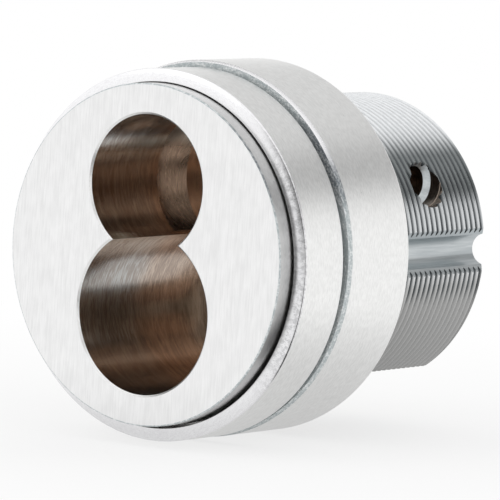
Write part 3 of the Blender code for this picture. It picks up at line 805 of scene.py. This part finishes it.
def make_housing(outside, mouth_finish, milled_finish, bores):
    """The head and the threaded body, turned in one piece and then bored, milled and threaded."""
    face_finish, shaded_side_finish, thread_finish, edge_finish = outside
    upper_bore, lower_bore, recess_bore, shaded_hole_bore = bores
    shoulder = FACE + HEAD_THICKNESS
    relief_rear = shoulder + RELIEF_LENGTH
    relief_radius = BODY_RADIUS - RELIEF_DEPTH
    profile = [
        (0.0, BODY_REAR),
        (BODY_RADIUS - REAR_CHAMFER, BODY_REAR),
        (BODY_RADIUS, BODY_REAR - REAR_CHAMFER),
        (BODY_RADIUS, relief_rear + RELIEF_DEPTH),
        (relief_radius, relief_rear),
        (relief_radius, shoulder),
        (HEAD_RADIUS, shoulder),
        (HEAD_RADIUS, FACE),
        (0.0, FACE),
    ]
    shape = turned(profile, BODY_SEGMENTS)
    round_edges(shape, HEAD_RADIUS, FACE, HEAD_EDGE, 2)
    for part in shape.faces:
        middle = part.calc_center_median()
        if middle.y > shoulder - MERGE:
            part.material_index = 2
        elif middle.y > FACE + HEAD_EDGE:
            part.material_index = 1
        elif middle.y > FACE + MERGE:
            part.material_index = 3
    housing = new_object("satin_housing", shape, face_finish, shaded_side_finish, thread_finish, edge_finish)

    past_head = HEAD_RADIUS + OVERRUN
    past_rear = BODY_REAR + OVERRUN
    flat_low = (-past_head, BODY_REAR - FLAT_LENGTH, -past_head)
    flat_high = (past_head, past_rear, FLAT_HEIGHT)
    web_front = CAVITY_REAR - OVERRUN
    recess = (LUG_RECESS_RADIUS, LUG_RECESS_FRONT, LUG_RECESS_REAR)
    snap_groove = (SNAP_GROOVE_RADIUS, SNAP_GROOVE_FRONT, SNAP_GROOVE_REAR)
    carve(
        housing,
        [
            lobe_cut("upper_lobe_cut", UPPER_LOBE_RADIUS, UPPER_LOBE, upper_bore, mouth_finish),
            lobe_cut("lower_lobe_cut", LOWER_LOBE_RADIUS, LOWER_LOBE, lower_bore, mouth_finish),
            bore_cut("lug_recess_cut", *recess, LUG_RECESS, recess_bore),
            bore_cut("web_hole_cut", WEB_HOLE_RADIUS, web_front, past_rear, LOWER_LOBE, lower_bore),
            bore_cut("rear_bore_cut", REAR_BORE_RADIUS, WEB_REAR, past_rear, LOWER_LOBE, lower_bore),
            bore_cut("snap_groove_cut", *snap_groove, LOWER_LOBE, lower_bore),
            new_object("flat_cut", block(flat_low, flat_high), milled_finish),
            new_object("right_groove_cut", groove_cutter(1), milled_finish),
            new_object("left_groove_cut", groove_cutter(-1), milled_finish),
            new_object("side_hole_cut", side_hole_cutter(), shaded_hole_bore, milled_finish),
            new_object("thread_cut", thread_cutter(), thread_finish),
        ],
    )
    stands_for(housing, "housing", "satin_chrome", "cylinder_housing")


def make_cup_ring(finish, lip_finish):
    """The cup over the head, with a lip in its own finish and a flange inside its rear end."""
    front = CUP_LOW.y
    rear = CUP_HIGH.y
    radius = (CUP_HIGH.x - CUP_LOW.x) / 2
    centre = Vector((0.0, 0.0, (CUP_LOW.z + CUP_HIGH.z) / 2))
    flange_front = rear - CUP_FLANGE_THICKNESS
    lip_rear = front + CUP_LIP_FALL
    profile = [
        (radius, rear),
        (radius, lip_rear),
        (CUP_INNER_RADIUS, front),
        (CUP_INNER_RADIUS, flange_front),
        (RING_BORE_RADIUS, flange_front),
        (RING_BORE_RADIUS, rear),
    ]
    shape = turned(profile, RING_SEGMENTS)
    round_edges(shape, radius, lip_rear, CUP_OUTER_EDGE, 4)
    round_edges(shape, radius, rear, CUP_OUTER_EDGE, 4)
    round_edges(shape, CUP_INNER_RADIUS, front, CUP_INNER_EDGE, 3)
    for part in shape.faces:
        if part.calc_center_median().y < lip_rear + CUP_OUTER_EDGE:
            part.material_index = 1
    bmesh.ops.translate(shape, vec=centre, verts=shape.verts)
    ring = new_object("cup_ring", shape, finish, lip_finish)
    stands_for(ring, "cup_ring", "satin_chrome", "compression_ring")


def make_blocking_ring(finish, front_finish, chamfer_finish):
    """The plain ring behind the cup, left as turned on its front face and chamfer."""
    front = BLOCKING_LOW.y
    rear = BLOCKING_HIGH.y
    radius = BLOCKING_HIGH.x
    centre = Vector((0.0, 0.0, (BLOCKING_LOW.z + BLOCKING_HIGH.z) / 2))
    inner_front = radius - BLOCKING_CHAMFER_DEPTH
    profile = [
        (radius, rear),
        (radius, front + BLOCKING_CHAMFER_LENGTH),
        (inner_front, front),
        (RING_BORE_RADIUS, front),
        (RING_BORE_RADIUS, rear),
    ]
    shape = turned(profile, RING_SEGMENTS)
    round_edges(shape, radius, rear, BLOCKING_REAR_EDGE, 3)
    for part in shape.faces:
        middle = part.calc_center_median()
        if middle.y < front + MERGE:
            part.material_index = 1
        elif middle.y < front + BLOCKING_CHAMFER_LENGTH and middle.xz.length > inner_front:
            part.material_index = 2
    bmesh.ops.translate(shape, vec=centre, verts=shape.verts)
    ring = new_object("spacer_ring", shape, finish, front_finish, chamfer_finish)
    stands_for(ring, "spacer_ring", "satin_chrome", "blocking_ring")


def make_wave_spring(finish):
    """The solid's own waves."""
    shape = copy_of("ring_spring")
    spring = new_object("wave_spring", shape, finish)
    stands_for(spring, "housing", "spring_steel", "ring_spring")
    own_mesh(spring)


def make_throw_member(finish):
    """The turning disc and its hub, on the axis of the cavity's lower lobe."""
    front = THROW_LOW.y
    rear = THROW_HIGH.y
    disc_radius = THROW_HIGH.x
    profile = [
        (0.0, rear),
        (HUB_RADIUS, rear),
        (HUB_RADIUS, DISC_REAR),
        (disc_radius, DISC_REAR),
        (disc_radius, front),
        (0.0, front),
    ]
    shape = turned(profile, BORE_SEGMENTS)
    round_edges(shape, disc_radius, front, DISC_EDGE)
    bmesh.ops.translate(shape, vec=LOWER_LOBE, verts=shape.verts)
    throw = new_object("throw_disc", shape, finish)
    stands_for(throw, "throw_and_cam", "plated_steel", "throw_member")


def make_pins(finish):
    """The two pins of the throw member, round at their ends."""
    profile = [
        (0.0, PIN_HIGH.y),
        (PIN_RADIUS, PIN_HIGH.y),
        (PIN_RADIUS, PIN_LOW.y),
        (0.0, PIN_LOW.y),
    ]
    for name in ("throw_pin_left", "throw_pin_right"):
        low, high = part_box(name)
        shape = turned(profile, SMALL_SEGMENTS)
        round_edges(shape, PIN_RADIUS, PIN_LOW.y, PIN_END_EDGE, 5)
        middle = (low + high) / 2
        bmesh.ops.translate(shape, vec=(middle.x, 0.0, middle.z), verts=shape.verts)
        pin = new_object(name + "_turned", shape, finish)
        stands_for(pin, "throw_and_cam", "plated_steel", name)


def make_cam(finish):
    """The solid's own cam, with its edges rounded."""
    shape = copy_of("cam")
    round_sharp_edges(shape, CAM_EDGE, CAM_EDGE_ANGLE)
    cam = new_object("pressed_cam", shape, finish)
    stands_for(cam, "throw_and_cam", "plated_steel", "cam")


def make_cam_screws(finish):
    """The two slotted screws that hold the cam."""
    for name in ("cam_screw_upper", "cam_screw_lower"):
        low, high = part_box(name)
        head_radius = (high.x - low.x) / 2
        centre = (low + high) / 2
        profile = [
            (0.0, high.y),
            (head_radius, high.y),
            (head_radius, SCREW_HEAD_FRONT),
            (SCREW_RADIUS, SCREW_HEAD_FRONT),
            (SCREW_RADIUS, low.y),
            (0.0, low.y),
        ]
        shape = turned(profile, SMALL_SEGMENTS)
        round_edges(shape, head_radius, high.y, SCREW_HEAD_EDGE, 4)
        middle = Vector((centre.x, 0.0, centre.z))
        bmesh.ops.translate(shape, vec=middle, verts=shape.verts)
        screw = new_object(name + "_turned", shape, finish)
        reach = head_radius + OVERRUN
        slot_low = middle + Vector((-reach, high.y - SCREW_SLOT_DEPTH, -SCREW_SLOT_HALF_WIDTH))
        slot_high = middle + Vector((reach, high.y + OVERRUN, SCREW_SLOT_HALF_WIDTH))
        carve(screw, [new_object(name + "_slot", block(slot_low, slot_high), finish)])
        stands_for(screw, "throw_and_cam", "plated_steel", name)


def repaint(node, finish):
    """Gives a solid that is shown as it is a finish of its own."""
    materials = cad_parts[node].data.materials
    materials.clear()
    materials.append(finish)


# Studio

AZIMUTH = math.radians(37.53)
ELEVATION = math.radians(4.937)
ROLL = math.radians(1.939)
CAMERA_DISTANCE = 0.456095
CAMERA_LENS = 356.237
AIM_RIGHT = 0.009839
AIM_UP = 0.000465

# What the metal reflects, as heights and sides on the unit ball round the part. Overhead is greyer
# behind, a band is darker on the right, and a dark card stands in front.
OVERHEAD_RISE = (0.16, 0.42)
OVERHEAD_BACK = (0.3, 0.6)
OVERHEAD_SHADE = 0.3
BAND_FOOT = (0.34, 0.40)
BAND_HEAD = (0.52, 0.58)
BAND_SIDE = (-0.02, 0.18)
BAND_SHADE = 0.48
CARD_WAY = Vector((0.354, -0.935))
CARD_RIGHT = (-0.22, -0.11)
CARD_LEFT = (0.40, 0.54)
CARD_TOP = (0.33, 0.5)
CARD_NEAR = (0.3, 0.5)
CARD_SHADE = 0.92
SOFT_LIGHT = 0.95

# The floor, in metres: the painted shadow that the metal sees near the part, and the painted dark strip
# across it in front
FLOOR_DROP = 0.0003
FLOOR_RADIUS = 6.0
FLOOR_COLOUR = (0.92, 0.92, 0.92, 1.0)
NEAR_GLOW = 0.54
GLOW_GAIN = 0.44
GLOW_REACH = (0.006, 0.05)
CARD_FOOT = Vector((0.014, 0.005))
STRIP_SLANT = (0.015, 0.06)
STRIP_START = (0.012, 0.022)
STRIP_SHADE = 0.95
NEAR_WHITE = 0.7
WHITE_GAIN = 0.3
WHITE_REACH = (0.03, 0.12)

KEY_PLACE = (-0.25, -0.35, 0.35)
KEY_SIZE = 0.3
KEY_POWER = 0.12


def make_camera():
    """The photograph's view: from the right of the key face, a little above it, with a long lens."""
    back = Vector((
        math.sin(AZIMUTH) * math.cos(ELEVATION),
        -math.cos(AZIMUTH) * math.cos(ELEVATION),
        math.sin(ELEVATION),
    ))
    level = Vector((math.cos(AZIMUTH), math.sin(AZIMUTH), 0.0))
    upright = back.cross(level)
    right = level * math.cos(ROLL) + upright * math.sin(ROLL)
    up = upright * math.cos(ROLL) - level * math.sin(ROLL)
    aim = Vector((0.0, FACE, 0.0)) + AIM_RIGHT * right + AIM_UP * up
    lens = bpy.data.cameras.new("camera")
    lens.sensor_width = 36.0
    lens.lens = CAMERA_LENS
    lens.clip_start = 0.01
    lens.clip_end = 20.0
    camera = bpy.data.objects.new("camera", lens)
    turn = Matrix((right, up, back)).transposed()
    camera.matrix_world = Matrix.Translation(aim + back * CAMERA_DISTANCE) @ turn.to_4x4()
    bpy.context.scene.collection.objects.link(camera)
    bpy.context.scene.camera = camera


def make_world():
    """White round the horizon and greyer above it behind, with a dark band between them on the right
    and a dark card in front, where the camera stands."""
    world = bpy.data.worlds.new("studio")
    world.use_nodes = True
    studio = Tree(world.node_tree)
    way = studio.add("ShaderNodeTexCoord", output="Generated")
    x, y, z = studio.split(way)
    overhead = studio.ramp(z, *OVERHEAD_RISE) * studio.ramp(y, *OVERHEAD_BACK)
    band = studio.between(z, BAND_FOOT, BAND_HEAD) * studio.ramp(x, *BAND_SIDE)
    card_x, card_y = CARD_WAY.normalized()
    card_width = studio.between(x * card_y - y * card_x, CARD_RIGHT, CARD_LEFT)
    card_height = (1.0 - studio.ramp(z, *CARD_TOP)) * studio.ramp(-1.0 * y, *CARD_NEAR)
    open_sky = (1.0 - OVERHEAD_SHADE * overhead) * (1.0 - BAND_SHADE * band)
    seen = open_sky * (1.0 - CARD_SHADE * card_width * card_height)
    rays = studio.tree.nodes.new("ShaderNodeLightPath")
    camera_ray = Term(studio.tree, rays.outputs["Is Camera Ray"])
    glossy_ray = Term(studio.tree, rays.outputs["Is Glossy Ray"])
    clear_ray = Term(studio.tree, rays.outputs["Is Transmission Ray"])
    reflected = glossy_ray.most(clear_ray)
    lit = reflected * seen + (1.0 - reflected) * SOFT_LIGHT
    strength = camera_ray + (1.0 - camera_ray) * lit
    background = world.node_tree.nodes["Background"]
    background.inputs["Color"].default_value = (1.0, 1.0, 1.0, 1.0)
    feed(studio.tree, background.inputs["Strength"], strength)
    bpy.context.scene.world = world


def make_floor():
    """A pale round floor just under the rings that keeps the shadow. The camera sees it white a little
    way off, and the metal sees it glow: a painted shadow grey close by, white further out, and a painted
    dark strip in front, under the card."""
    shape = bmesh.new()
    level = Matrix.Translation((0.0, 0.0, BLOCKING_LOW.z - FLOOR_DROP))
    bmesh.ops.create_circle(shape, cap_ends=True, segments=96, radius=FLOOR_RADIUS, matrix=level)
    material = bpy.data.materials.new("floor")
    material.use_nodes = True
    paint = Tree(material.node_tree)
    shader = material.node_tree.nodes["Principled BSDF"]
    shader.inputs["Base Color"].default_value = FLOOR_COLOUR
    shader.inputs["Roughness"].default_value = 0.9
    shader.inputs["Specular IOR Level"].default_value = 0.0
    place = paint.add("ShaderNodeTexCoord", output="Object")
    x, y = paint.split(place)[:2]
    distance = paint.add("ShaderNodeVectorMath", {"operation": "LENGTH"}, {0: place}, "Value")
    rays = paint.tree.nodes.new("ShaderNodeLightPath")
    camera_ray = Term(paint.tree, rays.outputs["Is Camera Ray"])
    glossy_ray = Term(paint.tree, rays.outputs["Is Glossy Ray"])
    card_x, card_y = CARD_WAY.normalized()
    off_x = x - CARD_FOOT.x
    off_y = y - CARD_FOOT.y
    along = (off_x * card_x + off_y * card_y).most(1e-4)
    slant = (off_x * card_y - off_y * card_x) / along
    strip = (1.0 - paint.ramp(slant * slant, *STRIP_SLANT)) * paint.ramp(along, *STRIP_START)
    # The metal sees the floor glow, with a painted shadow near the part and a painted dark strip in
    # front.
    seen = (NEAR_GLOW + GLOW_GAIN * paint.ramp(distance, *GLOW_REACH)) * (1.0 - STRIP_SHADE * strip)
    strength = camera_ray + (1.0 - camera_ray) * seen
    glow = paint.add("ShaderNodeEmission", inputs={"Color": (1.0, 1.0, 1.0), "Strength": strength})
    white = NEAR_WHITE + WHITE_GAIN * paint.ramp(distance, *WHITE_REACH)
    mix = paint.tree.nodes.new("ShaderNodeMixShader")
    feed(paint.tree, mix.inputs[0], white * camera_ray + glossy_ray)
    paint.tree.links.new(shader.outputs[0], mix.inputs[1])
    paint.tree.links.new(glow.socket, mix.inputs[2])
    paint.tree.links.new(mix.outputs[0], paint.tree.nodes["Material Output"].inputs["Surface"])
    new_object("floor", shape, material)


def make_lamp(name, place, size, power):
    """A soft square lamp aimed at the object."""
    light = bpy.data.lights.new(name, "AREA")
    light.shape = "SQUARE"
    light.size = size
    light.energy = power
    lamp = bpy.data.objects.new(name, light)
    lamp.location = place
    lamp.rotation_euler = Vector(place).to_track_quat("Z", "Y").to_euler()
    bpy.context.scene.collection.objects.link(lamp)


def main():
    bpy.context.scene.view_settings.view_transform = "Standard"
    # The bores' tones paint shade, most in the side hole's wall, and the recess's last argument paints a
    # highlight on its top.
    upper_bore = bored("upper_bore", UPPER_LOBE, 0.95, 0.2)
    lower_bore = bored("lower_bore", LOWER_LOBE, 1.0, 0.21)
    recess_bore = bored("recess_bore", LUG_RECESS, 0.9, 0.27, 0.8)
    shaded_hole_bore = bored("shaded_hole_bore", UPPER_LOBE, 0.42, 0.3)
    # The front face's finish carries painted shade on its upper right, and the chamfer's finish a
    # painted highlight towards the top.
    as_turned = speckled("speckled_chrome", 0.0)
    chamfer_finish = speckled("speckled_chamfer", 1.0)
    lip_finish = polished_lip()
    face_finish = satin_face()
    ring_finish = satin_turned("satin_chrome_turned", 1.0)
    # The head's side sits inside the cup ring, and its darker tone is painted shade.
    shaded_side_finish = satin_turned("satin_chrome_side", 0.72)
    plated = zinc_plate()
    oiled = oiled_steel()
    outside = (face_finish, shaded_side_finish, cut_thread(), as_turned)
    bores = (upper_bore, lower_bore, recess_bore, shaded_hole_bore)
    make_housing(outside, ring_finish, milled(), bores)
    make_cup_ring(ring_finish, lip_finish)
    make_blocking_ring(ring_finish, as_turned, chamfer_finish)
    make_wave_spring(oiled)
    make_throw_member(plated)
    make_pins(plated)
    make_cam(plated)
    make_cam_screws(plated)
    repaint("thrust_washer", oiled)
    repaint("throw_retaining_ring", oiled)

    make_camera()
    make_world()
    make_floor()
    make_lamp("key", KEY_PLACE, KEY_SIZE, KEY_POWER)


main()
